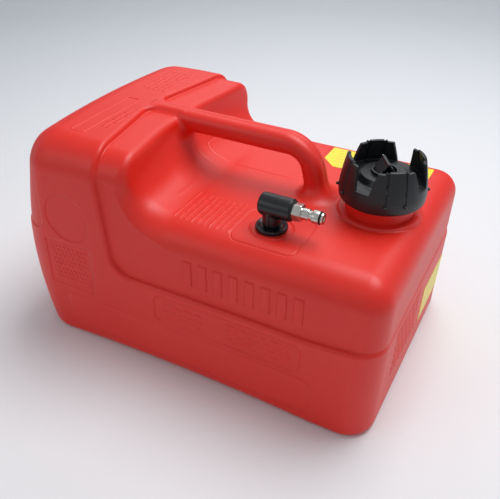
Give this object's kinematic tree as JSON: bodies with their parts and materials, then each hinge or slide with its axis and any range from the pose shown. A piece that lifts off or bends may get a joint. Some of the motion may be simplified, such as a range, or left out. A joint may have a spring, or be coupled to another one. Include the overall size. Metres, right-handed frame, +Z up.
{
  "type": "outboard fuel tank",
  "caption": "Portable outboard fuel tank: moulded shell with carry handle, castellated screw cap with vent screw, swivel elbow with valved quick connector, pickup tube.",
  "frame": {"origin": "on the surface that the tank stands on, midway between front and back and 175 mm in from the filler cap's end; the overall length is 381 mm", "axes": "+X from the tall end to the filler cap's end, -Y to the face on the outlet elbow's side, +Z up"},
  "size_m": [0.3811, 0.244, 0.2188],
  "materials": {
    "tank_plastic": "satin, blow-moulded polyethylene",
    "black_plastic": "satin, moulded nylon",
    "liner_plastic": "moulded polyethylene",
    "rubber": "nitrile, matt",
    "nickel": "nickel plated brass, satin",
    "steel": "stainless, drawn",
    "brass": "turned",
    "pickup_plastic": "natural polyethylene",
    "label_film": "yellow printed film, blank"
  },
  "bodies": {
    "tank": {"tank_body": "tank_plastic", "outlet_bushing": "black_plastic", "bushing_gasket": "rubber", "pickup_tube": "pickup_plastic", "strainer_cage": "pickup_plastic", "strainer_screen": "steel", "top_label": "label_film", "end_label": "label_film"},
    "cap_seal": {"cap_gasket": "rubber"},
    "cap_core": {"cap_liner": "liner_plastic"},
    "cap": {"filler_cap": "black_plastic"},
    "vent_washer": {"vent_seal": "rubber"},
    "vent_knob": {"vent_screw": "black_plastic", "vent_clip": "steel"},
    "elbow_swivel": {"elbow": "black_plastic", "elbow_o_ring": "rubber", "connector_washer": "rubber", "connector_plug": "nickel", "nose_o_ring": "rubber", "spring_seat": "brass", "poppet_spring": "steel"},
    "poppet": {"check_poppet": "brass", "poppet_o_ring": "rubber"}
  },
  "joints": [
    {"name": "cap_lift", "type": "slide", "parent": "tank", "child": "cap_seal", "axis": [0, 0, 1], "range_m": [0, 0.09]},
    {"name": "cap_rise", "type": "slide", "parent": "cap_seal", "child": "cap_core", "axis": [0, 0, 1], "range_m": [0, 0.00899]},
    {"name": "cap_turn", "type": "hinge", "parent": "cap_core", "child": "cap", "pos_m": [0.126, 0, 0.19], "axis": [0, 0, 1], "range_deg": [0, 810]},
    {"name": "vent_rise", "type": "slide", "parent": "cap", "child": "vent_washer", "axis": [0, 0, 1], "range_m": [0, 0.00218]},
    {"name": "vent_turn", "type": "hinge", "parent": "vent_washer", "child": "vent_knob", "pos_m": [0.126, 0, 0.2], "axis": [0, 0, 1], "range_deg": [0, 630]},
    {"name": "elbow_turn", "type": "hinge", "parent": "tank", "child": "elbow_swivel", "pos_m": [0.0545, -0.074, 0.162], "axis": [0, 0, 1], "continuous": true},
    {"name": "poppet_press", "type": "slide", "parent": "elbow_swivel", "child": "poppet", "axis": [-1, 0, 0], "range_m": [0, 0.0024], "stiffness_N_per_m": 400, "springref_m": -0.004, "deforming": ["poppet_spring"]}
  ],
  "couplings": [
    {"joint": "cap_turn", "follows": "cap_rise", "rad_per_m": 1570.8},
    {"joint": "vent_turn", "follows": "vent_rise", "rad_per_m": 5026.5}
  ]
}
